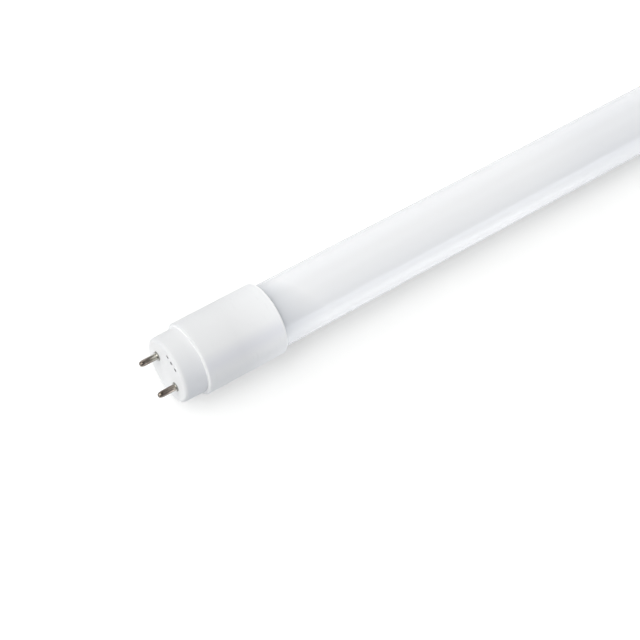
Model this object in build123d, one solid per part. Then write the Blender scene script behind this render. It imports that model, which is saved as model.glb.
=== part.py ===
from build123d import *
import os

# LED tube of the T8 size with G13 two-pin caps, in millimetres
# X runs along the tube, the pins of each cap lie side by side along Y, and Z is up
# The lamp lies on its two cap sleeves, and the origin is on that surface under its middle

# Whole lamp
face_to_face = 589.8
pin_reach = 7.1

# Glass tube
glass_diameter = 24.6
glass_wall = 0.9
glass_edge_bevel = 0.25
glass_seat_gap = 0.3

# End cap, one moulding used at both ends
cap_length = 42.0
rim_wall = 0.9
nose_step = 1.4
nose_length = 9.0
nose_draft = 0.1
nose_wall = 1.7
face_wall = 1.8
face_round = 1.2
lip_round = 0.8
step_bevel = 0.15
shoulder_wall = 1.5
glass_bore_clearance = 0.12
sealant_pocket_depth = 8.0
sealant_pocket_gap = 0.8
rim_outer_round = 0.45
rim_inner_bevel = 0.25

# Vent holes in the end face, in a row above the pins
vent_diameter = 1.4
vent_pitch = 2.6
vent_height = 9.0
vent_count = 3

# Contact pins
pin_spacing = 12.7
pin_diameter = 2.35
pin_tip_round = 0.8
pin_dimple_radius = 0.45
pin_dimple_depth = 0.35
pin_collar_diameter = 3.5
pin_collar_thickness = 0.6
pin_collar_bevel = 0.2
pin_tail_diameter = 2.0
pin_tail_length = 8.0
pin_flare_diameter = 2.9
pin_flare_thickness = 0.45
pin_bore_diameter = 1.2
pin_bore_depth = 7.0

# Pin bosses and board slots moulded inside the nose
boss_diameter = 4.8
boss_depth = 7.0
boss_web_thickness = 1.2
slot_rib_thickness = 0.9
slot_rib_overlap = 1.0
slot_clearance = 0.12
rib_end_gap = 0.6

# Sealant ring that bonds the cap to the glass
sealant_recess = 2.4
sealant_sag = 0.35

# LED board and what it carries
led_board_width = 12.0
led_board_thickness = 1.0
led_board_end_gap = 1.2
led_board_lift = 0.05
bed_inset = 1.0
led_count = 48
led_first_from_face = 50.0
led_length = 2.8
led_width = 3.5
led_height = 0.7
led_cup_length = 2.0
led_cup_width = 2.6
led_cup_depth = 0.3
led_cup_taper = 30.0

# Driver board, measured from the near cap's face
driver_start = 2.1
driver_length = 38.0
driver_edge_gap = 0.27
driver_thickness = 1.2
driver_corner_round = 1.0
driver_top_drop = 4.0
lead_hole_diameter = 1.0
lead_diameter = 0.6
lead_tail = 0.8
part_standoff = 0.3

# Places on the driver board: distance from the cap's face, then across
wire_hole_from_face = 14.5
fuse_place = (17.8, -6.9)
fuse_lead_pitch = 3.4
fuse_diameter = 3.2
fuse_length = 7.5
fuse_waist_diameter = 2.6
fuse_bevel = 0.4
varistor_place = (18.6, 5.0)
varistor_diameter = 6.8
varistor_thickness = 3.4
varistor_lead_pitch = 3.8
rectifier_place = (19.4, -1.0)
rectifier_size = (4.0, 3.9, 2.3)
film_place = (26.7, 5.1)
film_size = (8.4, 4.4, 7.6)
film_corner_round = 0.8
film_top_bevel = 0.4
film_lead_pitch = 5.0
electrolytic_place = (27.0, -3.1)
electrolytic_diameter = 8.0
electrolytic_height = 10.6
electrolytic_groove = 0.4
electrolytic_groove_height = 1.8
electrolytic_bevel = 0.4
electrolytic_lead_pitch = 3.5
inductor_place = (35.5, 4.3)
inductor_diameter = 7.6
inductor_height = 8.0
inductor_flange = 1.3
inductor_core_diameter = 3.4
inductor_winding_diameter = 6.8
chip_place = (35.4, -5.6)
chip_size = (4.9, 3.9, 1.4)
chip_lead_pitch = 1.27
chip_lead_width = 0.45
diode_place = (33.0, -1.3)
diode_size = (2.7, 1.6, 1.2)
resistor_size = (3.1, 1.6, 0.55)
resistor_places = [(21.5, 0.6), (25.5, 0.6), (29.5, 0.6), (21.5, -2.4)]

# Link header between the two boards
header_place = (38.8, -1.3)
header_length = 2.5
header_width = 5.1
header_pin_size = 0.64
header_pin_pitch = 2.54
header_pin_stand = 1.1

# Insulating liner, a rolled film against the glass
liner_thickness = 0.25
liner_clearance = 0.06
liner_half_angle = 122.0
liner_setback = 1.7
liner_rim_gap = 1.0

# Insulated leads inside the caps
wire_diameter = 1.3
wire_core_diameter = 0.6
wire_bend = 2.0
wire_pin_entry = 3.0
wire_strip = 0.4
link_wire_reach = 15.0
link_wire_bend = 4.0

# Radii and places that follow from the driving sizes
glass_radius = glass_diameter / 2
glass_inner_radius = glass_radius - glass_wall
pocket_radius = glass_radius + sealant_pocket_gap
sleeve_radius = pocket_radius + rim_wall
nose_radius = sleeve_radius - nose_step
cap_bore_radius = glass_radius + glass_bore_clearance
nose_bore_radius = nose_radius - nose_draft - nose_wall
pocket_start = cap_length - sealant_pocket_depth
glass_shoulder = nose_length + shoulder_wall
glass_start = glass_shoulder + glass_seat_gap
glass_length = face_to_face - 2 * glass_start
led_board_start = glass_start + led_board_end_gap
led_board_length = face_to_face - 2 * led_board_start
led_board_bottom = -((glass_inner_radius**2 - (led_board_width / 2) ** 2) ** 0.5) + led_board_lift
led_board_top = led_board_bottom + led_board_thickness
driver_top = -driver_top_drop
driver_bottom = driver_top - driver_thickness
liner_radius = glass_inner_radius - liner_clearance
liner_start = glass_start + liner_setback
liner_end = cap_length - liner_rim_gap
driver_room_radius = min(nose_bore_radius, liner_radius - liner_thickness)
driver_width = 2 * ((driver_room_radius**2 - driver_bottom**2) ** 0.5 - driver_edge_gap)
solder_side = driver_bottom - lead_tail

near_cap_place = Location((-face_to_face / 2, 0, sleeve_radius))
far_cap_place = Location((face_to_face / 2, 0, sleeve_radius), (0, 0, 180))
middle_place = Location((0, 0, sleeve_radius))


def along_x(radius, start, end, y=0.0, z=0.0):
    """A round bar along X between two distances from the cap's face."""
    bar = Plane.YZ * Circle(radius)
    return extrude(bar, end - start).moved(Location((start, y, z)))


def upright(radius, bottom, top, x, y):
    """A round bar that stands along Z."""
    return extrude(Circle(radius), top - bottom).moved(Location((x, y, bottom)))


def block(size, x, y, bottom):
    """A block that stands on the height given, centred on x and y."""
    solid = Box(*size, align=(Align.CENTER, Align.CENTER, Align.MIN))
    return solid.moved(Location((x, y, bottom)))


def turned(points, rounds=None, bevels=None):
    """A solid turned about X from (x, radius) points, with rounds and bevels sized by corner index."""
    outline = make_face(Polyline(*points, close=True))
    for index, radius in (rounds or {}).items():
        outline = fillet(corner_of(outline, points[index]), radius)
    for index, width in (bevels or {}).items():
        outline = chamfer(corner_of(outline, points[index]), width)
    return revolve(outline, Axis.X)


def corner_of(outline, point):
    """The corner of an outline that lies at a point."""
    return outline.vertices().sort_by_distance(Vector(*point))[0]


# Glass tube, its cut edges taken off
def make_glass_tube():
    half = glass_length / 2
    outline = [
        (-half, glass_inner_radius),
        (half, glass_inner_radius),
        (half, glass_radius),
        (-half, glass_radius),
    ]
    return turned(outline, bevels={index: glass_edge_bevel for index in range(4)})


# Moulded end cap: sleeve, nose, pin bosses with webs, board slots and vents
def make_end_cap():
    outline = [
        (0, 0),
        (0, nose_radius - nose_draft),
        (nose_length, nose_radius),
        (nose_length, sleeve_radius),
        (cap_length, sleeve_radius),
        (cap_length, pocket_radius),
        (pocket_start, pocket_radius),
        (pocket_start, cap_bore_radius),
        (glass_shoulder, cap_bore_radius),
        (glass_shoulder, nose_bore_radius),
        (face_wall, nose_bore_radius),
        (face_wall, 0),
    ]
    rounds = {1: face_round, 3: lip_round, 4: rim_outer_round}
    cap = turned(outline, rounds, bevels={2: step_bevel, 5: rim_inner_bevel})
    inside = along_x(nose_bore_radius + nose_wall / 2, face_wall / 2, glass_shoulder - rib_end_gap)
    for side in (-1, 1):
        pin_y = side * pin_spacing / 2
        cap += along_x(boss_diameter / 2, face_wall / 2, boss_depth, pin_y)
        web_length = boss_depth - face_wall / 2
        web = Box(web_length, nose_radius - pin_spacing / 2, boss_web_thickness)
        web_x = face_wall / 2 + web_length / 2
        cap += web.moved(Location((web_x, side * (nose_radius + pin_spacing / 2) / 2, 0))) & inside
        cap += make_board_slot(side) & inside
    for side in (-1, 1):
        cap -= along_x(pin_tail_diameter / 2, 0, boss_depth, side * pin_spacing / 2)
    for index in range(vent_count):
        vent_y = (index - (vent_count - 1) / 2) * vent_pitch
        cap -= along_x(vent_diameter / 2, 0, face_wall, vent_y, vent_height)
    return cap


# Two ribs that grip one edge of the driver board
def make_board_slot(side):
    rib_inner_y = driver_width / 2 - slot_rib_overlap
    rib_width = nose_radius - rib_inner_y
    rib_y = side * (rib_inner_y + rib_width / 2)
    rib_size = (glass_shoulder, rib_width, slot_rib_thickness)
    upper = block(rib_size, glass_shoulder / 2, rib_y, driver_top + slot_clearance)
    lower = block(rib_size, glass_shoulder / 2, rib_y, driver_bottom - slot_clearance - slot_rib_thickness)
    return upper + lower


# Contact pin: dimpled round tip, collar on the face, hollow tail riveted behind the boss
def make_contact_pin(side):
    shaft = pin_diameter / 2
    tail = pin_tail_diameter / 2
    outline = [
        (-pin_reach, 0),
        (-pin_reach, shaft),
        (-pin_collar_thickness, shaft),
        (-pin_collar_thickness, pin_collar_diameter / 2),
        (0, pin_collar_diameter / 2),
        (0, tail),
        (boss_depth, tail),
        (boss_depth, pin_flare_diameter / 2),
        (boss_depth + pin_flare_thickness, pin_flare_diameter / 2),
        (boss_depth + pin_flare_thickness, tail),
        (pin_tail_length, tail),
        (pin_tail_length, pin_bore_diameter / 2),
        (pin_tail_length - pin_bore_depth, pin_bore_diameter / 2),
        (pin_tail_length - pin_bore_depth, 0),
    ]
    pin = turned(outline, rounds={1: pin_tip_round}, bevels={3: pin_collar_bevel})
    ball_radius = (pin_dimple_radius**2 + pin_dimple_depth**2) / (2 * pin_dimple_depth)
    pin -= Sphere(ball_radius).moved(Location((-pin_reach + pin_dimple_depth - ball_radius, 0, 0)))
    return pin.moved(Location((0, side * pin_spacing / 2, 0)))


# Sealant ring in the pocket between sleeve and glass, its open face drawn in between the two walls
def make_sealant():
    end = cap_length - sealant_recess
    outline = [
        (pocket_start, glass_radius),
        (end, glass_radius),
        (end - sealant_sag, (glass_radius + pocket_radius) / 2),
        (end, pocket_radius),
        (pocket_start, pocket_radius),
    ]
    return turned(outline)


# LED board, an aluminium strip that lies along the bottom of the glass
def make_led_board():
    size = (led_board_length, led_board_width, led_board_thickness)
    return block(size, 0, 0, led_board_bottom)


# Silicone bed that fills the hollow between the strip and the curved glass
def make_board_bed():
    width = led_board_width / 2 - bed_inset
    edge_height = -((glass_inner_radius**2 - width**2) ** 0.5)
    edges = [
        Line((-width, led_board_bottom), (width, led_board_bottom)),
        Line((width, led_board_bottom), (width, edge_height)),
        ThreePointArc((width, edge_height), (0, -glass_inner_radius), (-width, edge_height)),
        Line((-width, edge_height), (-width, led_board_bottom)),
    ]
    section = Plane.YZ * make_face(edges)
    return extrude(section, led_board_length).moved(Location((-led_board_length / 2, 0, 0)))


# LED packages: white housings with a tapered cup, in one row along the strip
def make_led_packages():
    body = Box(led_length, led_width, led_height, align=(Align.CENTER, Align.CENTER, Align.MIN))
    mouth = Plane.XY.offset(led_height) * Rectangle(led_cup_length, led_cup_width)
    body -= extrude(mouth, -led_cup_depth, taper=led_cup_taper)
    span = face_to_face - 2 * led_first_from_face
    pitch = span / (led_count - 1)
    places = [Location((index * pitch - span / 2, 0, led_board_top)) for index in range(led_count)]
    return [body.moved(place) for place in places]


# Drilled places on the driver board for every lead that passes through it
def lead_holes():
    fuse_x, fuse_y = fuse_place
    varistor_x, varistor_y = varistor_place
    film_x, film_y = film_place
    electrolytic_x, electrolytic_y = electrolytic_place
    return [
        (wire_hole_from_face, pin_spacing / 2),
        (wire_hole_from_face, -pin_spacing / 2),
        (fuse_x, fuse_y),
        (fuse_x + fuse_lead_pitch, fuse_y),
        (varistor_x, varistor_y - varistor_lead_pitch / 2),
        (varistor_x, varistor_y + varistor_lead_pitch / 2),
        (film_x - film_lead_pitch / 2, film_y),
        (film_x + film_lead_pitch / 2, film_y),
        (electrolytic_x - electrolytic_lead_pitch / 2, electrolytic_y),
        (electrolytic_x + electrolytic_lead_pitch / 2, electrolytic_y),
    ]


# Driver board, which slides into the near cap's slots
def make_driver_board():
    outline = RectangleRounded(driver_length, driver_width, driver_corner_round)
    board = extrude(outline, driver_thickness)
    board = board.moved(Location((driver_start + driver_length / 2, 0, driver_bottom)))
    for x, y in lead_holes():
        board -= upright(lead_hole_diameter / 2, driver_bottom, driver_top, x, y)
    for x, y in header_pin_places():
        board -= upright(lead_hole_diameter / 2, driver_bottom, driver_top, x, y)
    return board


# Straight lead from a component down through the board
def lead_down(x, y, top):
    return upright(lead_diameter / 2, solder_side, top, x, y)


# Fuse resistor that stands on end, its upper lead bent over and down
def make_fuse_resistor():
    x, y = fuse_place
    bottom = driver_top + part_standoff
    end = fuse_diameter / 2
    waist = fuse_waist_diameter / 2
    shoulder = fuse_length / 4
    outline = [
        (0, 0),
        (0, end),
        (shoulder, end),
        (shoulder + end - waist, waist),
        (fuse_length - shoulder - end + waist, waist),
        (fuse_length - shoulder, end),
        (fuse_length, end),
        (fuse_length, 0),
    ]
    body = turned(outline, bevels={1: fuse_bevel, 6: fuse_bevel})
    body = body.moved(Location((x, y, bottom), (0, -90, 0)))
    top = bottom + fuse_length
    over = top + fuse_lead_pitch / 2
    route = FilletPolyline(
        (x, y, top - fuse_length / 4),
        (x, y, over),
        (x + fuse_lead_pitch, y, over),
        (x + fuse_lead_pitch, y, solder_side),
        radius=fuse_lead_pitch / 2 - 0.1,
    )
    lead = sweep(Plane(route @ 0, z_dir=route % 0) * Circle(lead_diameter / 2), route)
    return body + lead + lead_down(x, y, bottom + fuse_length / 4)


# Varistor, a coated disc that stands across the board
def make_varistor():
    x, y = varistor_place
    radius = varistor_diameter / 2
    centre = driver_top + part_standoff + radius
    disc = along_x(radius, x - varistor_thickness / 2, x + varistor_thickness / 2, y, centre)
    disc = chamfer(disc.edges().filter_by(GeomType.CIRCLE), varistor_thickness / 4)
    for side in (-1, 1):
        disc += lead_down(x, y + side * varistor_lead_pitch / 2, centre)
    return disc


# Flat-bottomed moulded body with bent leads on two sides
def make_leaded_body(place, size, lead_width, lead_places, lift=0.1):
    x, y = place
    length, width, height = size
    body = block((length, width, height - lift), x, y, driver_top + lift)
    top_edges = body.faces().sort_by(Axis.Z)[-1].edges()
    body = chamfer(top_edges, height / 8)
    shoulder = driver_top + height / 2
    foot = width / 2 + height / 3
    for lead_x in lead_places:
        for side in (-1, 1):
            leg = block((lead_width, 0.2, shoulder - driver_top), x + lead_x, y + side * foot, driver_top)
            arm_width = foot - width / 2 + 0.3
            arm_y = y + side * (foot + 0.1 - arm_width / 2)
            body += leg + block((lead_width, arm_width, 0.2), x + lead_x, arm_y, shoulder)
    return body


# Film capacitor, a dipped block with rounded corners
def make_film_capacitor():
    x, y = film_place
    body = block(film_size, x, y, driver_top + part_standoff)
    body = fillet(body.edges().filter_by(Axis.Z), film_corner_round)
    body = chamfer(body.faces().sort_by(Axis.Z)[-1].edges(), film_top_bevel)
    for side in (-1, 1):
        lead_x = x + side * film_lead_pitch / 2
        body += lead_down(lead_x, y, driver_top + part_standoff + film_size[2] / 2)
    return body


# Electrolytic capacitor: a sleeved can with a rolled groove near its foot
def make_electrolytic():
    x, y = electrolytic_place
    radius = electrolytic_diameter / 2
    groove = electrolytic_groove_height
    outline = [
        (0, 0),
        (0, radius),
        (groove - electrolytic_groove, radius),
        (groove, radius - electrolytic_groove),
        (groove + electrolytic_groove, radius),
        (electrolytic_height, radius),
        (electrolytic_height, 0),
    ]
    can = turned(outline, bevels={1: electrolytic_bevel, 5: electrolytic_bevel})
    can = can.moved(Location((x, y, driver_top), (0, -90, 0)))
    for side in (-1, 1):
        can += lead_down(x + side * electrolytic_lead_pitch / 2, y, driver_top + electrolytic_groove)
    return can


# Inductor core: a ferrite drum with two flanges
def make_inductor_core():
    x, y = inductor_place
    radius = inductor_diameter / 2
    core = inductor_core_diameter / 2
    outline = [
        (0, 0),
        (0, radius),
        (inductor_flange, radius),
        (inductor_flange, core),
        (inductor_height - inductor_flange, core),
        (inductor_height - inductor_flange, radius),
        (inductor_height, radius),
        (inductor_height, 0),
    ]
    return turned(outline).moved(Location((x, y, driver_top), (0, -90, 0)))


# Copper winding that fills the drum between its flanges
def make_inductor_winding():
    x, y = inductor_place
    bottom = driver_top + inductor_flange
    top = driver_top + inductor_height - inductor_flange
    outer = upright(inductor_winding_diameter / 2, bottom, top, x, y)
    return outer - upright(inductor_core_diameter / 2, bottom, top, x, y)


# Chip resistors on the underside of the driver board
def make_chip_resistors():
    drop = driver_bottom - resistor_size[2]
    return [block(resistor_size, x, y, drop) for x, y in resistor_places]


# Places of the link header's two pins
def header_pin_places():
    x, y = header_place
    return [(x, y + side * header_pin_pitch / 2) for side in (-1, 1)]


# Link header: a plastic block between the boards
def make_header_block():
    height = driver_bottom - led_board_top
    body = block((header_length, header_width, height), *header_place, led_board_top)
    body = chamfer(body.edges().filter_by(Axis.Z), header_length / 6)
    for x, y in header_pin_places():
        body -= block((header_pin_size, header_pin_size, height), x, y, led_board_top)
    return body


# The header's two square pins, from the LED board up through the driver board
def make_header_pins():
    height = driver_top + header_pin_stand - led_board_top
    size = (header_pin_size, header_pin_size, height)
    return [block(size, x, y, led_board_top) for x, y in header_pin_places()]


# Rolled insulating film, open at the bottom where the LED board lies
def make_liner():
    ring = Circle(liner_radius) - Circle(liner_radius - liner_thickness)
    half = liner_half_angle
    reach = 2 * glass_radius
    wedge = make_face(
        Polyline(
            (0, 0),
            Vector(0, reach).rotate(Axis.Z, half),
            (-reach, reach),
            (reach, reach),
            Vector(0, reach).rotate(Axis.Z, -half),
            close=True,
        )
    )
    film = Plane.YZ * (ring & wedge)
    return extrude(film, liner_end - liner_start).moved(Location((liner_start, 0, 0)))


# Insulated lead from a pin's tail down to the driver board
def make_pin_lead(side):
    y = side * pin_spacing / 2
    wire_top = driver_top + wire_strip
    start = pin_tail_length + wire_strip
    route = FilletPolyline(
        (start, y, 0), (wire_hole_from_face, y, 0), (wire_hole_from_face, y, wire_top), radius=wire_bend
    )
    jacket = sweep(Plane(route @ 0, z_dir=route % 0) * Circle(wire_diameter / 2), route)
    core_in_pin = along_x(wire_core_diameter / 2, wire_pin_entry, start + wire_strip, y)
    core_in_board = lead_down(wire_hole_from_face, y, wire_top + wire_strip)
    return jacket + core_in_pin + core_in_board


# Link wire that joins the two pins of the far cap
def make_link_wire():
    y = pin_spacing / 2
    start = pin_tail_length + wire_strip
    route = FilletPolyline(
        (start, -y, 0),
        (link_wire_reach, -y, 0),
        (link_wire_reach, y, 0),
        (start, y, 0),
        radius=link_wire_bend,
    )
    wire = sweep(Plane(route @ 0, z_dir=route % 0) * Circle(wire_diameter / 2), route)
    for side in (-1, 1):
        wire += along_x(wire_core_diameter / 2, wire_pin_entry, start + wire_strip, side * y)
    return wire


def save(name, solids, place):
    """Writes one piece, or one group of like pieces, at its place in the lamp."""
    group = solids if isinstance(solids, list) else solids.solids()
    placed = [solid.moved(place) for solid in group]
    shape = placed[0] if len(placed) == 1 else Compound(children=placed)
    shape.label = name
    export_step(shape, f"parts/{name}.step")


os.makedirs("parts", exist_ok=True)

save("glass_tube", make_glass_tube(), middle_place)
save("led_board", make_led_board(), middle_place)
save("led_board_bed", make_board_bed(), middle_place)
save("led_packages", make_led_packages(), middle_place)

for end, place in {"near": near_cap_place, "far": far_cap_place}.items():
    save(f"{end}_end_cap", make_end_cap(), place)
    save(f"{end}_sealant", make_sealant(), place)
    save(f"{end}_left_pin", make_contact_pin(-1), place)
    save(f"{end}_right_pin", make_contact_pin(1), place)

rectifier_leads = [-rectifier_size[0] / 3, rectifier_size[0] / 3]
chip_leads = [(index - 1.5) * chip_lead_pitch for index in range(4)]
save("driver_board", make_driver_board(), near_cap_place)
save("fuse_resistor", make_fuse_resistor(), near_cap_place)
save("varistor", make_varistor(), near_cap_place)
save(
    "bridge_rectifier",
    make_leaded_body(rectifier_place, rectifier_size, 2 * chip_lead_width, rectifier_leads),
    near_cap_place,
)
save("film_capacitor", make_film_capacitor(), near_cap_place)
save("electrolytic_capacitor", make_electrolytic(), near_cap_place)
save("inductor_core", make_inductor_core(), near_cap_place)
save("inductor_winding", make_inductor_winding(), near_cap_place)
save("driver_chip", make_leaded_body(chip_place, chip_size, chip_lead_width, chip_leads), near_cap_place)
save("output_diode", make_leaded_body(diode_place, diode_size, 3 * chip_lead_width, [0]), near_cap_place)
save("chip_resistors", make_chip_resistors(), near_cap_place)
save("link_header", make_header_block(), near_cap_place)
save("link_header_pins", make_header_pins(), near_cap_place)
save("insulating_liner", make_liner(), near_cap_place)
save("line_lead", make_pin_lead(1), near_cap_place)
save("neutral_lead", make_pin_lead(-1), near_cap_place)
save("far_link_wire", make_link_wire(), far_cap_place)
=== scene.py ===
import math

import bmesh
import bpy
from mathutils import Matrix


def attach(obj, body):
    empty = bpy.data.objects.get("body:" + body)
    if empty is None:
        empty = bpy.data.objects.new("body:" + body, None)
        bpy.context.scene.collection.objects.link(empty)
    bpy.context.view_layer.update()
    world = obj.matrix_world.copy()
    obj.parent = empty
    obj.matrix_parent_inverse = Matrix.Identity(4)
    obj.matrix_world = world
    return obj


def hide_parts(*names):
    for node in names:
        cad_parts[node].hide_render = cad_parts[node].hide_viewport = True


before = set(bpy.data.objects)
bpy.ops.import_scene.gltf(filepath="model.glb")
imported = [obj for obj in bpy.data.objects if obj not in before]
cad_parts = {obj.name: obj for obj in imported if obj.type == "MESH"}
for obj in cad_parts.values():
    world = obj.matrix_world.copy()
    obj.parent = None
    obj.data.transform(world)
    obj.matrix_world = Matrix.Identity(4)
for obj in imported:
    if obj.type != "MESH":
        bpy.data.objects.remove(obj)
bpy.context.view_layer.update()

# The tube is drawn opal glass, milky all through and glossy outside, and is the body of the lamp.
# Its ends are cut square, with the sharp edges taken off, and each stands on a shoulder in a cap.

mm = 1000  # millimetres in a metre: sizes are in metres, and materials measure in millimetres
axis_height = 0.0140
half_lamp = 0.2949
glass_setback = 0.0108
glass_radius = 0.0123
glass_inner_radius = 0.0114
glass_edge_round = 0.00025
round_sides = 160


def deselect_all():
    """Leaves edit mode if need be, and deselects every object."""
    if bpy.context.mode == "EDIT_MESH":
        bpy.ops.object.mode_set(mode="OBJECT")
    bpy.ops.object.select_all(action="DESELECT")


def draw_rings(name, outline, sides, y=0.0, filled=False):
    """Draws a round piece along X: a ring, extruded and scaled along the points of its outline."""
    first_x, first_radius = outline[0]
    deselect_all()
    bpy.ops.mesh.primitive_circle_add(
        vertices=sides,
        radius=first_radius,
        fill_type="NGON" if filled else "NOTHING",
        location=(first_x, y, axis_height),
        rotation=(0, math.radians(90), 0),
    )
    piece = bpy.context.object
    piece.name = name
    piece.data.name = name
    bpy.ops.object.transform_apply(location=True, rotation=True, scale=True)
    bpy.ops.object.mode_set(mode="EDIT")
    bpy.ops.mesh.select_mode(type="EDGE")
    bpy.ops.mesh.select_all(action="SELECT")
    for (x, radius), (next_x, next_radius) in zip(outline, outline[1:]):
        bpy.ops.mesh.extrude_region_move(TRANSFORM_OT_translate={"value": (next_x - x, 0, 0)})
        growth = next_radius / radius
        bpy.ops.transform.resize(
            value=(1, growth, growth), center_override=(next_x, y, axis_height)
        )
    bpy.ops.mesh.select_all(action="SELECT")
    bpy.ops.mesh.remove_doubles(threshold=0.000001)
    bpy.ops.mesh.normals_make_consistent(inside=False)
    return piece


def bevel_ring(piece, x, radius, width, segments, y=0.0):
    """Rounds one ring of edges, found by its place along X and its radius, in edit mode."""
    near = 0.00002
    bpy.ops.mesh.select_all(action="DESELECT")
    mesh = bmesh.from_edit_mesh(piece.data)
    for vertex in mesh.verts:
        reach = math.hypot(vertex.co.y - y, vertex.co.z - axis_height)
        vertex.tag = abs(vertex.co.x - x) < near and abs(reach - radius) < near
    for edge in mesh.edges:
        edge.select = all(vertex.tag for vertex in edge.verts)
    bmesh.update_edit_mesh(piece.data)
    bpy.ops.mesh.bevel(offset=width, segments=segments, profile=0.5, affect="EDGES")


def finish_mesh(piece, smooth_angle=35):
    """Leaves edit mode, smooths the shading up to an angle and keeps flat faces flat."""
    deselect_all()
    piece.select_set(True)
    bpy.context.view_layer.objects.active = piece
    bpy.ops.object.shade_smooth_by_angle(angle=math.radians(smooth_angle))
    bpy.ops.object.modifier_add(type="WEIGHTED_NORMAL")
    piece.modifiers[-1].keep_sharp = True
    bpy.ops.object.modifier_apply(modifier=piece.modifiers[-1].name)


class Wire:
    """An output of a shader node. Sums, products and the like of wires add their Math nodes."""

    def __init__(self, tree, source, output=0):
        self.tree = tree
        self.source = source
        self.output = output

    def out(self, name):
        """Another output of the same node."""
        return Wire(self.tree, self.source, name)

    def node(self, kind, settings=None, sockets=None, output=0):
        """Adds a node of any kind: first its settings, then its sockets' values or wires."""
        added = self.tree.nodes.new("ShaderNode" + kind)
        for name, value in (settings or {}).items():
            if name == "stops":
                ramp = added.color_ramp.elements
                while len(ramp) < len(value):
                    ramp.new(1.0)
                for element, (position, colour) in zip(ramp, value):
                    element.position = position
                    element.color = colour
            else:
                setattr(added, name, value)
        for name, value in (sockets or {}).items():
            if isinstance(value, Wire):
                self.tree.links.new(value.source.outputs[value.output], added.inputs[name])
            else:
                added.inputs[name].default_value = value
        return Wire(self.tree, added, output)

    def math(self, operation, other=0.0):
        """A Math node on this number and another one."""
        return self.node("Math", {"operation": operation}, {0: self, 1: other})

    def vector(self, operation, other, output=0):
        """A Vector Math node on this vector or colour and another one."""
        return self.node("VectorMath", {"operation": operation}, {0: self, 1: other}, output)

    def __add__(self, other):
        return self.math("ADD", other)

    __radd__ = __add__

    def __sub__(self, other):
        return self.math("SUBTRACT", other)

    def __rsub__(self, other):
        return self.node("Math", {"operation": "SUBTRACT"}, {0: other, 1: self})

    def __mul__(self, other):
        return self.math("MULTIPLY", other)

    __rmul__ = __mul__

    def __gt__(self, other):
        return self.math("GREATER_THAN", other)

    def __lt__(self, other):
        return self.math("LESS_THAN", other)

    def __abs__(self):
        return self.math("ABSOLUTE")

    def scaled(self, x, y, z):
        """A vector with each of its axes multiplied."""
        return self.vector("MULTIPLY", (x, y, z))

    def along_x(self):
        """The X of a vector, whose node has its Y and Z as further outputs."""
        return self.node("SeparateXYZ", None, {0: self}, output="X")

    def noise(self, scale, detail=2.0):
        """Cloudy noise at this place, between 0 and 1."""
        return self.node("TexNoise", None, {"Vector": self, "Scale": scale, "Detail": detail})

    def mix(self, low, high):
        """A colour between two colours, by this wire from 0 to 1."""
        return self.node("Mix", {"data_type": "RGBA"}, {0: self, 6: low, 7: high}, output=2)

    def spread(self, low, high):
        """A number between two numbers, by this wire from 0 to 1."""
        return self * (high - low) + low

    def clipped(self, start, end):
        """0 before the start, 1 past the end, and straight in between."""
        limits = {"Value": self, "From Min": start, "From Max": end}
        return self.node("MapRange", {"clamp": True}, limits)

    def bumped(self, strength, depth):
        """The normal of a surface that stands up by this wire, its full height in metres."""
        return self.node("Bump", None, {"Strength": strength, "Distance": depth, "Height": self})


def start_material(name):
    """A new material and the wire of its object coordinates in millimetres."""
    material = bpy.data.materials.new(name)
    material.use_nodes = True
    tree = material.node_tree
    tree.nodes.clear()
    place = Wire(tree, tree.nodes.new("ShaderNodeTexCoord"), "Object")
    return material, place.scaled(mm, mm, mm)


def finish_material(place, sockets):
    """Ends a material in one Principled shader."""
    shader = place.node("BsdfPrincipled", None, sockets)
    place.node("OutputMaterial", None, {"Surface": shader})


def milky_glass_material():
    """Opal glass, with painted shade greyer in the lamp's middle and a painted shadow beside the
    caps.
    """
    material, place = start_material("milky_glass")
    milk = (0.930, 0.938, 0.955, 1)
    bright_milk = (0.950, 0.955, 0.968, 1)
    speck_grey = (0.88, 0.89, 0.91, 1)
    middle_painted_shade = (0.893, 0.903, 0.926, 1)
    shaded_milk = (0.725, 0.742, 0.772, 1)
    speck_strength = 0.35
    speck_levels = (0.70, 0.76)
    middle_limits = (135.0, 100.0)
    shade_from_face = 42.5
    shade_lengths = (7.5, 18.0)
    lit_to_shaded_side = (9.0, -8.0)

    drawn_lines = place.scaled(0.012, 1, 1).noise(scale=0.5, detail=3.0)
    clouds = place.scaled(0.25, 1, 1).noise(scale=0.12)
    specks = place.noise(scale=1.6, detail=1.0).clipped(*speck_levels)
    smears = place.scaled(0.3, 1, 1).noise(scale=0.35, detail=4.0)
    along = place.along_x()
    from_middle = abs(along)
    shade_full = half_lamp * mm - shade_from_face
    shade_length = along.out("Y").clipped(*lit_to_shaded_side).spread(*shade_lengths)
    body = clouds.mix(milk, bright_milk)
    body = (specks * speck_strength).mix(body, speck_grey)
    # Painted shade: the glass is greyer in the lamp's middle, where the light falls off.
    body = from_middle.clipped(*middle_limits).mix(body, middle_painted_shade)
    # Painted shadow: the glass beside each cap is greyer where the rim's shadow falls, longer on
    # the shaded side.
    body = from_middle.clipped(shade_full - shade_length, shade_full).mix(body, shaded_milk)
    finish_material(
        place,
        {
            "Base Color": body,
            "Roughness": smears.spread(0.16, 0.24),
            "IOR": 1.55,
            "Coat Weight": 1.0,
            "Coat Roughness": 0.05,
            "Coat IOR": 1.6,
            "Normal": drawn_lines.bumped(strength=0.35, depth=0.00002),
        },
    )
    return material


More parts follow.
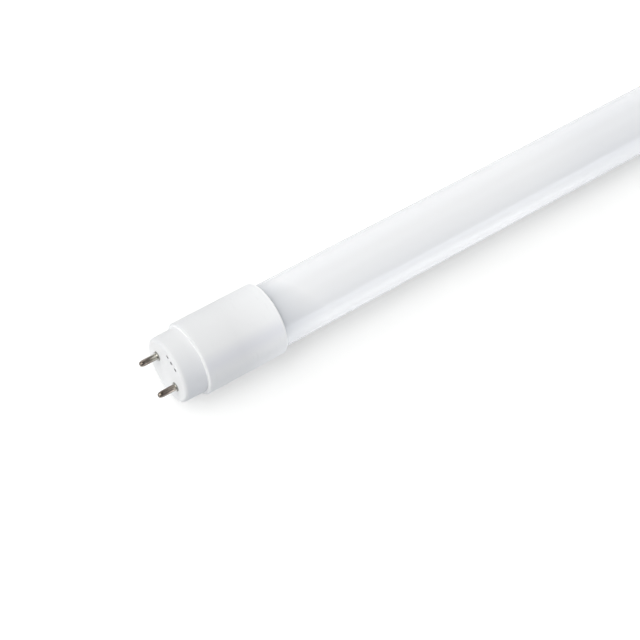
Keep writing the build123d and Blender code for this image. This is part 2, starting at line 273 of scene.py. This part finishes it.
half_glass = half_lamp - glass_setback
glass_outline = [
    (-half_glass, glass_inner_radius),
    (half_glass, glass_inner_radius),
    (half_glass, glass_radius),
    (-half_glass, glass_radius),
    (-half_glass, glass_inner_radius),
]
opal_tube = draw_rings("opal_tube", glass_outline, round_sides)
for edge_x, edge_radius in glass_outline[:4]:
    bevel_ring(opal_tube, edge_x, edge_radius, glass_edge_round, 3)
finish_mesh(opal_tube)
opal_tube.data.materials.append(milky_glass_material())
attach(opal_tube, "root")
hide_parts("glass_tube")

# Each end cap is one moulding in white polycarbonate: a long sleeve round the glass and a
# narrower nose, with three vent holes in its face. Inside the nose stand the two pin bosses on
# webs and the slots of the driver board, and sealant in the sleeve's mouth holds the glass.

cap_length = 0.0420
sleeve_radius = 0.0140
nose_radius = 0.0126
nose_length = 0.0090
nose_draft = 0.0001
pocket_radius = 0.0131
pocket_depth = 0.0080
glass_bore_radius = 0.01242
nose_bore_radius = 0.0108
shoulder_from_face = 0.0105
face_wall = 0.0018
face_round = 0.0012
nose_foot_round = 0.00015
shoulder_round = 0.0008
rim_round = 0.00045
mouth_round = 0.00025
pin_spacing = 0.0127
boss_radius = 0.0024
boss_depth = 0.0070
boss_sides = 48
web_thickness = 0.0012
rib_thickness = 0.0009
rib_inner_y = 0.00832
rib_end = 0.0099
rib_reach = 0.01165
rib_into_wall = 0.00085
rib_clip_sides = 96
upper_rib_height = -0.00343
lower_rib_height = -0.00577
tail_radius = 0.0010
tail_bore_depth = 0.010
tail_bore_sides = 40
vent_radius = 0.0007
vent_pitch = 0.0026
vent_height = 0.0090
vent_tool_depth = 0.003
vent_ease = 0.00006
vent_ease_reach = 1.05 * vent_radius
vent_sides = 40
tool_overrun = 0.001


def change_solid(piece, tool, operation):
    """Adds, cuts or clips a solid by another one, which is then taken away."""
    deselect_all()
    piece.select_set(True)
    bpy.context.view_layer.objects.active = piece
    bpy.ops.object.modifier_add(type="BOOLEAN")
    change = piece.modifiers[-1]
    change.operation = operation
    change.solver = "EXACT"
    change.object = tool
    bpy.ops.object.modifier_apply(modifier=change.name)
    bpy.data.objects.remove(tool)


def draw_block(name, lowest, highest):
    """A block between two corners."""
    centre = [(low + high) / 2 for low, high in zip(lowest, highest)]
    size = [high - low for low, high in zip(lowest, highest)]
    deselect_all()
    bpy.ops.mesh.primitive_cube_add(size=1, location=centre, scale=size)
    block = bpy.context.object
    block.name = name
    bpy.ops.object.transform_apply(location=True, rotation=True, scale=True)
    return block


def add_rib(cap, side, height, thickness, inner_y, end):
    """Adds a flat rib from the face and the nose's wall inwards, clipped to the round wall."""
    inner, outer = sorted((side * inner_y, side * rib_reach))
    middle = axis_height + height
    rib = draw_block(
        "rib",
        (face_x + face_wall / 2, inner, middle - thickness / 2),
        (face_x + end, outer, middle + thickness / 2),
    )
    clip_radius = nose_bore_radius + rib_into_wall
    clip_outline = [(face_x, clip_radius), (face_x + cap_length, clip_radius)]
    change_solid(rib, draw_rings("clip", clip_outline, rib_clip_sides, filled=True), "INTERSECT")
    change_solid(cap, rib, "UNION")


def copy_piece(piece, name, sideways=0.0, turn=0.0):
    """Copies a finished piece and its mesh, turned about the lamp's middle and moved sideways."""
    deselect_all()
    piece.select_set(True)
    bpy.context.view_layer.objects.active = piece
    bpy.ops.object.duplicate()
    copied = bpy.context.object
    copied.name = name
    copied.data.name = name
    copied.location.y = sideways
    copied.rotation_euler.z = turn
    bpy.ops.object.transform_apply(location=True, rotation=True, scale=True)
    return copied


def cap_plastic_material():
    """Satin white plastic, with painted light towards the rear rim and painted shade low down, on
    rounded edges and in the vents.
    """
    material, place = start_material("cap_plastic")
    plastic = (0.806, 0.812, 0.822, 1)
    pale_plastic = (0.822, 0.827, 0.836, 1)
    nose_painted_lit = (0.812, 0.818, 0.828, 1)
    nose_painted_shade = (0.758, 0.768, 0.792, 1)
    rear_painted_light_top = (0.905, 0.912, 0.922, 1)
    rear_painted_light_underside = (0.985, 0.990, 1.0, 1)
    painted_shade_band_tint = (0.926, 0.928, 0.956, 1)
    scuff_grey = (0.76, 0.765, 0.775, 1)
    rim_painted_highlight = (0.99, 0.99, 0.995, 1)
    rounded_painted_shade = (0.695, 0.703, 0.717, 1)
    vent_painted_shade = (0.22, 0.225, 0.23, 1)
    scuff_strength = 0.25
    scuff_levels = (0.62, 0.72)
    nose_start = (0.8, 1.4)
    rear_start = (24.0, 40.0)
    rim_start = (41.0, 41.4)
    top_to_underside = (5.0, -9.0)
    band_top = (-3.5, -7.0)
    band_bottom = (-11.0, -8.4)
    band_start = 9.6
    rounding_core = 0.40
    vent_start = (0.03, 0.12)
    vent_margin = 0.1
    vent_row_half = (vent_pitch + vent_radius) * mm + 2 * vent_margin
    vent_end = face_wall * mm + vent_margin / 2

    grain = place.noise(scale=9.0)
    flow = place.scaled(0.35, 1, 1).noise(scale=0.16, detail=3.0)
    scuffs = place.scaled(1, 0.2, 0.2).noise(scale=1.1, detail=3.0)
    scuffs = scuffs.clipped(*scuff_levels)
    along = place.along_x()
    sideways = along.out("Y")
    height = along.out("Z") - axis_height * mm
    radius = (sideways * sideways + height * height).math("SQRT")
    from_face = half_lamp * mm - abs(along)
    lower_side = sideways.clipped(*top_to_underside)

    body = flow.mix(plastic, pale_plastic)
    # Painted shade: the nose is lighter on top and darker on its underside.
    on_nose = from_face.clipped(*nose_start) * (from_face < nose_length * mm)
    body = on_nose.mix(body, lower_side.mix(nose_painted_lit, nose_painted_shade))
    # Painted light: the rear of the sleeve is paler, most on its underside, as if lit through the
    # thin wall.
    body = from_face.clipped(*rear_start).mix(body, lower_side.mix(rear_painted_light_top, rear_painted_light_underside))
    # Painted shade: a cooler, darker band along the sleeve's lower side.
    in_painted_shade_band = sideways.clipped(*band_top) * sideways.clipped(*band_bottom)
    in_painted_shade_band = in_painted_shade_band * (from_face > band_start)
    body = body.vector("MULTIPLY", in_painted_shade_band.mix((1, 1, 1, 1), painted_shade_band_tint))
    body = (scuffs * scuff_strength).mix(body, scuff_grey)
    # Painted highlight: the rear rim is near white.
    body = from_face.clipped(*rim_start).mix(body, rim_painted_highlight)
    # Painted shade: the rounded edges of the face and shoulder are greyer, most on their upper
    # side, to dim their highlights.
    for corner_from_face, corner_radius, rounding, share_below in (
        (0.0, nose_radius, face_round, 0.75),
        (nose_length, sleeve_radius, shoulder_round, 0.0),
    ):
        back = from_face - corner_from_face * mm
        inwards = radius - corner_radius * mm
        to_corner = (back * back + inwards * inwards).math("SQRT")
        rounded = 1 - to_corner.clipped(rounding_core * rounding * mm, rounding * mm)
        body = (rounded * lower_side.spread(1.0, share_below)).mix(body, rounded_painted_shade)
    # Painted shade: the walls of the vent holes are dark.
    in_row = abs(height - vent_height * mm) < vent_radius * mm + vent_margin
    in_row = in_row * (abs(sideways) < vent_row_half)
    in_vent_shade = in_row * from_face.clipped(*vent_start) * (from_face < vent_end)
    finish_material(
        place,
        {
            "Base Color": in_vent_shade.mix(body, vent_painted_shade),
            "Roughness": grain.spread(0.40, 0.54) + scuffs * 0.08,
            "IOR": 1.46,
            "Specular IOR Level": 0.15,
            "Normal": (grain + flow * 0.6).bumped(strength=0.25, depth=0.00003),
        },
    )
    return material


face_x = -half_lamp
cap_outline = [
    (face_x, nose_radius - nose_draft),
    (face_x + nose_length, nose_radius),
    (face_x + nose_length, sleeve_radius),
    (face_x + cap_length, sleeve_radius),
    (face_x + cap_length, pocket_radius),
    (face_x + cap_length - pocket_depth, pocket_radius),
    (face_x + cap_length - pocket_depth, glass_bore_radius),
    (face_x + shoulder_from_face, glass_bore_radius),
    (face_x + shoulder_from_face, nose_bore_radius),
    (face_x + face_wall, nose_bore_radius),
]
cap_rounds = [
    (face_round, 8),
    (nose_foot_round, 3),
    (shoulder_round, 7),
    (rim_round, 5),
    (mouth_round, 3),
]
near_cap = draw_rings("near_cap_moulding", cap_outline, round_sides, filled=True)
for (corner_x, corner_radius), (width, segments) in zip(cap_outline, cap_rounds):
    bevel_ring(near_cap, corner_x, corner_radius, width, segments)
for side in (-1, 1):
    boss_outline = [(face_x + face_wall / 2, boss_radius), (face_x + boss_depth, boss_radius)]
    boss = draw_rings("boss", boss_outline, boss_sides, side * pin_spacing / 2, filled=True)
    change_solid(near_cap, boss, "UNION")
    add_rib(near_cap, side, 0.0, web_thickness, pin_spacing / 2, boss_depth)
    for rib_height in (upper_rib_height, lower_rib_height):
        add_rib(near_cap, side, rib_height, rib_thickness, rib_inner_y, rib_end)
for side in (-1, 1):
    bore_outline = [(face_x - tool_overrun, tail_radius), (face_x + tail_bore_depth, tail_radius)]
    bore = draw_rings("bore", bore_outline, tail_bore_sides, side * pin_spacing / 2, filled=True)
    change_solid(near_cap, bore, "DIFFERENCE")
for place_in_row in (-1, 0, 1):
    vent_outline = [(-tool_overrun, vent_radius), (vent_tool_depth, vent_radius)]
    vent = draw_rings("vent", vent_outline, vent_sides, filled=True)
    bpy.ops.mesh.select_all(action="SELECT")
    bpy.ops.transform.translate(value=(face_x, place_in_row * vent_pitch, vent_height))
    change_solid(near_cap, vent, "DIFFERENCE")

# The vents' mouths are eased a little where the core pins of the mould met its face
bpy.ops.object.mode_set(mode="EDIT")
bpy.ops.mesh.select_mode(type="EDGE")
bpy.ops.mesh.select_all(action="DESELECT")
cap_mesh = bmesh.from_edit_mesh(near_cap.data)
near_face = 0.00001
for edge in cap_mesh.edges:
    on_face = all(abs(vertex.co.x - face_x) < near_face for vertex in edge.verts)
    middle = (edge.verts[0].co + edge.verts[1].co) / 2
    above_vents = middle.z - axis_height - vent_height
    to_vent = min(math.hypot(middle.y - place * vent_pitch, above_vents) for place in (-1, 0, 1))
    edge.select = on_face and to_vent < vent_ease_reach
bmesh.update_edit_mesh(near_cap.data)
bpy.ops.mesh.bevel(offset=vent_ease, segments=2, profile=0.5, affect="EDGES")
finish_mesh(near_cap)
near_cap.data.materials.append(cap_plastic_material())
far_cap = copy_piece(near_cap, "far_cap_moulding", turn=math.pi)
for cap, node in ((near_cap, "near_end_cap"), (far_cap, "far_end_cap")):
    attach(cap, "root")
    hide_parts(node)

# The contact pins are drawn brass tubes, nickel-plated, with a dimple in the middle of the round
# tip and a small mark punched into the top near it. Each has a collar that bears on the end
# face, and its tail is riveted over behind the boss.

pin_reach = 0.0071
pin_radius = 0.001175
pin_sides = 64
tip_radius = 0.00062
tip_length = 0.0018
tip_steps = 8
tip_edge_round = 0.00006
collar_radius = 0.00175
collar_thickness = 0.0006
collar_round = 0.0002
rivet_radius = 0.00145
rivet_end = 0.00745
tail_end = 0.00800
hollow_radius = 0.0006
hollow_bottom = 0.00100
mark_from_face = 0.0059
mark_ball_radius = 0.00045
mark_ball_height = 0.00130
dimple = [(-0.00675, 0.00006), (-0.00679, 0.00020), (-0.00692, 0.00034), (-pin_reach, 0.00045)]
tip_curve = []
for step in range(tip_steps + 1):
    round_about = math.radians(90 * step / tip_steps)
    back = tip_length * (1 - math.cos(round_about))
    growth = (pin_radius - tip_radius) * math.sin(round_about)
    tip_curve.append((back - pin_reach, tip_radius + growth))
collar_and_tail = [
    (-collar_thickness, pin_radius),
    (-collar_thickness, collar_radius),
    (0.0, collar_radius),
    (0.0, tail_radius),
    (boss_depth, tail_radius),
    (boss_depth, rivet_radius),
    (rivet_end, rivet_radius),
    (rivet_end, tail_radius),
    (tail_end, tail_radius),
    (tail_end, hollow_radius),
    (hollow_bottom, hollow_radius),
]
pin_outline = [(face_x + x, radius) for x, radius in dimple + tip_curve + collar_and_tail]


def pin_nickel_material():
    """Nickel plating, lighter by the collar and browner with dark streaks towards the tip, with
    painted reflection and shade.
    """
    material, place = start_material("pin_nickel")
    bright = (0.62, 0.60, 0.54, 1)
    bright_streak = (0.34, 0.33, 0.28, 1)
    brown = (0.44, 0.375, 0.32, 1)
    brown_streak = (0.150, 0.122, 0.104, 1)
    rubbed_metal = (0.50, 0.45, 0.40, 1)
    collar_painted_reflection = (0.80, 0.80, 0.77, 1)
    collar_rim_painted_shadow = (0.36, 0.36, 0.33, 1)
    dirt_and_painted_shade = (0.05, 0.04, 0.033, 1)
    streak_levels = (0.45, 0.56)
    pit_levels = (0.66, 0.74)
    rubbed_levels = (0.56, 0.64)
    rubbed_strength = 0.4
    brown_limits = (1.5, 4.5)
    one_pin_painted_shade_shift = 2.2
    dimple_start = 6.5
    mark_limits = (5.4, 6.4)
    mark_height = 0.6
    collar_start = -0.1
    # Squares of distances from the pin's axis
    dimple_square = 0.17
    mark_squares = (0.30, 1.05)
    collar_square = 1.45
    collar_rim_square = 2.6

    streaks = place.scaled(0.08, 1, 1).noise(scale=1.7).clipped(*streak_levels)
    fine_lines = place.scaled(0.15, 1, 1).noise(scale=5.0, detail=3.0)
    pits = place.noise(scale=7.0, detail=1.0).clipped(*pit_levels)
    rubbed = place.scaled(0.04, 1, 1).noise(scale=3.6, detail=0.0).clipped(*rubbed_levels)
    along_lamp = place.along_x()
    out_of_face = abs(along_lamp) - half_lamp * mm
    sideways = abs(along_lamp.out("Y")) - pin_spacing / 2 * mm
    upwards = along_lamp.out("Z") - axis_height * mm
    axis_square = sideways * sideways + upwards * upwards
    in_dimple = (axis_square < dimple_square) * (out_of_face > dimple_start)
    in_mark = (out_of_face > mark_limits[0]) * (out_of_face < mark_limits[1])
    in_mark = in_mark * (upwards > mark_height)
    in_mark = in_mark * (axis_square > mark_squares[0]) * (axis_square < mark_squares[1])
    on_collar = (axis_square > collar_square) * (out_of_face > collar_start)
    one_pin = along_lamp.out("Y") < 0
    # Painted shade: the brown reaches further back on the pins at -Y, so they show darker.
    browner_to_tip = (out_of_face + one_pin * one_pin_painted_shade_shift).clipped(*brown_limits)

    metal = browner_to_tip.mix(streaks.mix(bright, bright_streak), streaks.mix(brown, brown_streak))
    metal = (rubbed * rubbed_strength).mix(metal, rubbed_metal)
    # Painted reflection and shadow: the collar's face is painted light and its rim dark.
    metal = on_collar.mix(metal, collar_painted_reflection)
    metal = (on_collar * (axis_square > collar_rim_square)).mix(metal, collar_rim_painted_shadow)
    # Dirt in random pits, and painted shade in the tip's dimple and the punched mark.
    dirt_and_hollow_shade = pits.math("MAXIMUM", in_dimple).math("MAXIMUM", in_mark)
    finish_material(
        place,
        {
            "Base Color": dirt_and_hollow_shade.mix(metal, dirt_and_painted_shade),
            "Metallic": 1.0,
            "Roughness": fine_lines.spread(0.10, 0.22) + pits * 0.2,
            "Normal": (fine_lines + pits * -0.5).bumped(strength=0.4, depth=0.00001),
        },
    )
    return material


pin_nickel = pin_nickel_material()
pin_y = -pin_spacing / 2
first_pin = draw_rings("near_left_contact_pin", pin_outline, pin_sides, pin_y, filled=True)
bevel_ring(first_pin, face_x - pin_reach, dimple[-1][1], tip_edge_round, 2, pin_y)
bevel_ring(first_pin, face_x - collar_thickness, collar_radius, collar_round, 3, pin_y)
deselect_all()
bpy.ops.mesh.primitive_uv_sphere_add(
    segments=24,
    ring_count=16,
    radius=mark_ball_radius,
    location=(face_x - mark_from_face, pin_y, axis_height + mark_ball_height),
)
bpy.ops.object.transform_apply(location=True, rotation=True, scale=True)
change_solid(first_pin, bpy.context.object, "DIFFERENCE")
finish_mesh(first_pin)
first_pin.data.materials.append(pin_nickel)
pins = {
    "near_left_pin": first_pin,
    "near_right_pin": copy_piece(first_pin, "near_right_contact_pin", sideways=pin_spacing),
    "far_left_pin": copy_piece(first_pin, "far_left_contact_pin", turn=math.pi),
    "far_right_pin": copy_piece(first_pin, "far_right_contact_pin", -pin_spacing, math.pi),
}
for node, pin in pins.items():
    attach(pin, "root")
    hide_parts(node)

# White silicone fills the gap between each sleeve and the glass, and holds the cap on.
# Its open face is drawn in between the two walls, a little below the sleeve's rim.

sealant_recess = 0.0024
sealant_sag = 0.00035
sag_by_walls = 0.8 * sealant_sag
wall_skin = 0.0002


def silicone_material():
    """Cured white silicone, slightly rippled."""
    material, place = start_material("silicone")
    ripples = place.noise(scale=0.9, detail=3.0)
    finish_material(
        place,
        {
            "Base Color": ripples.mix((0.78, 0.78, 0.76, 1), (0.85, 0.85, 0.83, 1)),
            "Roughness": ripples.spread(0.35, 0.5),
            "IOR": 1.41,
            "Normal": ripples.bumped(strength=0.5, depth=0.0001),
        },
    )
    return material


silicone = silicone_material()
pocket_start = face_x + cap_length - pocket_depth
open_face = face_x + cap_length - sealant_recess
sealant_outline = [
    (pocket_start, glass_radius),
    (open_face, glass_radius),
    (open_face - sag_by_walls, glass_radius + wall_skin),
    (open_face - sealant_sag, (glass_radius + pocket_radius) / 2),
    (open_face - sag_by_walls, pocket_radius - wall_skin),
    (open_face, pocket_radius),
    (pocket_start, pocket_radius),
    (pocket_start, glass_radius),
]
near_sealant = draw_rings("near_sealant_ring", sealant_outline, round_sides)
finish_mesh(near_sealant)
near_sealant.data.materials.append(silicone)
far_sealant = copy_piece(near_sealant, "far_sealant_ring", turn=math.pi)
for sealant, node in ((near_sealant, "near_sealant"), (far_sealant, "far_sealant")):
    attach(sealant, "root")
    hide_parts(node)

# The LED board is an aluminium strip under white solder mask, bedded in silicone on the bottom
# of the glass. It carries a row of white LED packages, each with yellow phosphor in its cup.

cup_edge = (1.15, 1.30)


def dress(nodes, material):
    """Gives carried-over pieces of the model their finish."""
    for node in nodes:
        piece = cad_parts[node]
        if not piece.material_slots:
            piece.data.materials.append(material)
        for material_slot in piece.material_slots:
            material_slot.material = material


def board_aluminium_material():
    """White solder mask, thin over the rolled lines of the strip."""
    material, place = start_material("board_aluminium")
    mask = place.noise(scale=2.0, detail=3.0)
    rolled = place.scaled(0.02, 1, 1).noise(scale=4.0)
    finish_material(
        place,
        {
            "Base Color": mask.mix((0.84, 0.85, 0.84, 1), (0.90, 0.90, 0.89, 1)),
            "Roughness": rolled.spread(0.3, 0.5),
            "Normal": (mask + rolled).bumped(strength=0.2, depth=0.00002),
        },
    )
    return material


def led_housing_material():
    """White housings, with yellow phosphor in a strip along their middle."""
    material, place = start_material("led_housing")
    grit = place.noise(scale=6.0)
    in_cup = 1 - abs(place.along_x().out("Y")).clipped(*cup_edge)
    phosphor = grit.mix((0.85, 0.70, 0.20, 1), (0.93, 0.80, 0.34, 1))
    housing = grit.mix((0.88, 0.88, 0.86, 1), (0.92, 0.92, 0.90, 1))
    finish_material(
        place,
        {
            "Base Color": in_cup.mix(housing, phosphor),
            "Roughness": grit.spread(0.25, 0.45),
            "Normal": grit.bumped(strength=0.2, depth=0.00002),
        },
    )
    return material


dress(["led_board"], board_aluminium_material())
dress(["led_board_bed"], silicone)
dress(["led_packages"], led_housing_material())

# The driver stands on a green laminate board in the near cap's slots, with its parts soldered
# through it. A plastic header joins it to the LED board, and a rolled film keeps it from the
# glass. Insulated leads run from the board to the pins.

moulded_finishes = {
    "component_black": {
        "nodes": [
            "electrolytic_capacitor",
            "driver_chip",
            "bridge_rectifier",
            "output_diode",
            "chip_resistors",
            "link_header",
        ],
        "dark": (0.03, 0.03, 0.032, 1),
        "light": (0.05, 0.05, 0.052, 1),
        "roughness": 0.5,
    },
    "component_lacquer": {
        "nodes": ["varistor"],
        "dark": (0.06, 0.16, 0.36, 1),
        "light": (0.10, 0.23, 0.46, 1),
        "roughness": 0.28,
    },
    "film_lacquer": {
        "nodes": ["film_capacitor"],
        "dark": (0.42, 0.10, 0.05, 1),
        "light": (0.52, 0.15, 0.08, 1),
        "roughness": 0.3,
    },
    "resistor_lacquer": {
        "nodes": ["fuse_resistor"],
        "dark": (0.28, 0.36, 0.33, 1),
        "light": (0.36, 0.45, 0.41, 1),
        "roughness": 0.35,
    },
    "ferrite": {
        "nodes": ["inductor_core"],
        "dark": (0.06, 0.06, 0.062, 1),
        "light": (0.10, 0.10, 0.102, 1),
        "roughness": 0.62,
    },
    "liner_film": {
        "nodes": ["insulating_liner"],
        "dark": (0.80, 0.80, 0.77, 1),
        "light": (0.86, 0.86, 0.83, 1),
        "roughness": 0.3,
    },
    "lead_insulation": {
        "nodes": ["line_lead", "neutral_lead", "far_link_wire"],
        "dark": (0.78, 0.78, 0.76, 1),
        "light": (0.85, 0.85, 0.83, 1),
        "roughness": 0.35,
    },
}
roughness_variation = 0.08


def laminate_material():
    """Green solder mask over the weave of the laminate."""
    material, place = start_material("board_laminate")
    fibres = {"Vector": place, "Scale": 0.8, "Distortion": 0.6}
    warp = place.node("TexWave", {"bands_direction": "X"}, fibres)
    weft = place.node("TexWave", {"bands_direction": "Y"}, fibres)
    weave = warp * weft
    patches = place.noise(scale=0.35, detail=4.0)
    finish_material(
        place,
        {
            "Base Color": patches.mix((0.05, 0.20, 0.09, 1), (0.09, 0.30, 0.14, 1)),
            "Roughness": weave.spread(0.28, 0.5),
            "Normal": (weave + patches).bumped(strength=0.3, depth=0.00003),
        },
    )
    return material


def moulded_material(name, dark, light, roughness):
    """Moulded, dipped or drawn plastic: a fine grain over a slightly uneven colour."""
    material, place = start_material(name)
    grain = place.noise(scale=7.0, detail=3.0)
    tone = place.noise(scale=0.7)
    low, high = roughness - roughness_variation, roughness + roughness_variation
    finish_material(
        place,
        {
            "Base Color": tone.mix(dark, light),
            "Roughness": grain.spread(low, high),
            "Normal": grain.bumped(strength=0.3, depth=0.00003),
        },
    )
    return material


def winding_material():
    """Enamelled copper wire, wound in level turns."""
    material, place = start_material("copper")
    wave = {"bands_direction": "Z", "wave_profile": "SIN"}
    turns = place.node("TexWave", wave, {"Vector": place, "Scale": 1.6})
    tone = place.noise(scale=1.5)
    finish_material(
        place,
        {
            "Base Color": tone.mix((0.45, 0.18, 0.07, 1), (0.62, 0.29, 0.12, 1)),
            "Metallic": 0.9,
            "Roughness": turns.spread(0.25, 0.5),
            "Normal": turns.bumped(strength=0.8, depth=0.0001),
        },
    )
    return material


for name, finish in moulded_finishes.items():
    moulded = moulded_material(name, finish["dark"], finish["light"], finish["roughness"])
    dress(finish["nodes"], moulded)
dress(["driver_board"], laminate_material())
dress(["inductor_winding"], winding_material())
dress(["link_header_pins"], pin_nickel)

# The lamp lies on a white table, which keeps its soft shadow and shows white to the camera.
# A white card lies on it beside the near half, and only the lamp's reflections show it.

table_half = 12.0
camera_lift = (0.231, 0.222, 0.201, 1)
card_lift = (1.30, 1.30, 1.30, 1)
card_near_edge = (4.0, 48.0)
card_front_end = (-290.0, -258.0)
card_rear_end = (-122.0, -60.0)
card_rest = 0.68


def table_white_material():
    """Matt white, with a glow for the camera and a brighter one, the card, for reflections."""
    material, place = start_material("table_white")
    mottle = place.noise(scale=0.02)
    paint = mottle.mix((0.868, 0.878, 0.894, 1), (0.883, 0.893, 0.909, 1))
    seen = place.node("LightPath", output="Is Camera Ray")
    mirrored = seen.out("Is Glossy Ray").math("MAXIMUM", seen.out("Is Transmission Ray"))
    along = place.along_x()
    clear_of_lamp = (-1 * along.out("Y")).clipped(*card_near_edge)
    beside_near_half = along.clipped(*card_front_end)
    towards_middle = along.clipped(*card_rear_end).spread(1.0, card_rest)
    on_card = clear_of_lamp * beside_near_half * towards_middle
    glow_colour = seen.mix((0, 0, 0, 1), camera_lift)
    glow_colour = (mirrored * on_card).mix(glow_colour, card_lift)
    surface = place.node("BsdfDiffuse", None, {"Color": paint})
    glow = place.node("Emission", None, {"Color": glow_colour, "Strength": 1.0})
    both = place.node("AddShader", None, {0: surface, 1: glow})
    place.node("OutputMaterial", None, {"Surface": both})
    return material


deselect_all()
bpy.ops.mesh.primitive_plane_add(size=2 * table_half, location=(0, 0, 0))
table = bpy.context.object
table.name = "table"
bpy.ops.object.transform_apply(location=True, rotation=True, scale=True)
bpy.ops.object.mode_set(mode="EDIT")
bpy.ops.mesh.subdivide(number_cuts=4)
bpy.ops.object.mode_set(mode="OBJECT")
table.data.materials.append(table_white_material())

# The studio round the table is soft light, brighter or darker by the angle round the lamp's
# axis: 0 is the horizon on the card's side, a half is overhead and 1 is the horizon behind.
# The room in front of the lamp's near end and the room towards its far end differ.

studio_gain = 4.0
front_light = [
    (0.29, 0.00),
    (0.37, 0.85),
    (0.43, 1.57),
    (0.50, 2.29),
    (0.57, 2.93),
    (0.64, 2.11),
    (0.73, 1.99),
    (0.83, 0.74),
    (0.94, 0.00),
]
rear_light = [
    (0.02, 1.81),
    (0.06, 1.85),
    (0.105, 1.65),
    (0.135, 0.66),
    (0.21, 0.55),
    (0.29, 0.54),
    (0.37, 0.39),
    (0.43, 0.35),
    (0.50, 0.18),
    (0.57, 0.46),
    (0.64, 0.33),
    (0.73, 0.19),
    (0.83, 0.49),
    (0.94, 0.75),
]
front_tint = (1.005, 1.0, 0.98)
rear_tint = (0.965, 0.995, 1.045)
front_to_rear = (-0.35, 0.35)
panel_direction = (-0.86, 0.25, 0.44)
panel_edge = (0.80, 0.92)
panel_strength = 0.81
far_end_fade = (0.50, 0.60)
far_end_share = 0.88


def studio_half(angle, stops, tint):
    """The light of one half of the room by the angle round the lamp."""
    shades = []
    for position, strength in stops:
        colour = [strength * part / studio_gain for part in tint]
        shades.append((position, (*colour, 1)))
    return angle.node("ValToRGB", {"stops": shades}, {0: angle})


world = bpy.data.worlds.new("studio")
bpy.context.scene.world = world
world.use_nodes = True
world.node_tree.nodes.clear()
sky = Wire(world.node_tree, world.node_tree.nodes.new("ShaderNodeTexCoord"), "Generated")
sky_x = sky.along_x()
round_lamp = sky_x.out("Z").math("ARCTAN2", -1 * sky_x.out("Y")) * (1 / math.pi)
in_front = studio_half(round_lamp, front_light, front_tint)
behind = studio_half(round_lamp, rear_light, rear_tint)
light = sky_x.clipped(*front_to_rear).mix(in_front, behind)
to_panel = sky.vector("DOT_PRODUCT", panel_direction, output="Value")
light = light.vector("ADD", to_panel.clipped(*panel_edge) * (panel_strength / studio_gain))
light = light.vector("MULTIPLY", sky_x.clipped(*far_end_fade).spread(1.0, far_end_share))
room = sky.node("Background", None, {"Color": light, "Strength": studio_gain})
white_view = sky.node("Background", None, {"Color": (1, 1, 1, 1), "Strength": 1.0})
camera_ray = sky.node("LightPath", output="Is Camera Ray")
surroundings = sky.node("MixShader", None, {0: camera_ray, 1: room, 2: white_view})
sky.node("OutputWorld", None, {"Surface": surroundings})

bpy.context.scene.view_settings.view_transform = "Standard"

# The camera looks down on the near end from in front of it, and is rolled so that the lamp runs
# up to the right. Its place was solved from points of the caps, pins and vents in the photograph.

camera_place = (-0.444007, -0.084309, 0.500648)
camera_angles = (19.1828, -15.5149, -32.8158)
camera_lens = 82.785
camera_sensor = 36
camera_reach = (0.01, 60)
bpy.ops.object.camera_add(
    location=camera_place, rotation=[math.radians(angle) for angle in camera_angles]
)
camera = bpy.context.object
camera.name = "photo_camera"
camera.data.lens = camera_lens
camera.data.sensor_width = camera_sensor
camera.data.clip_start, camera.data.clip_end = camera_reach
bpy.context.scene.camera = camera
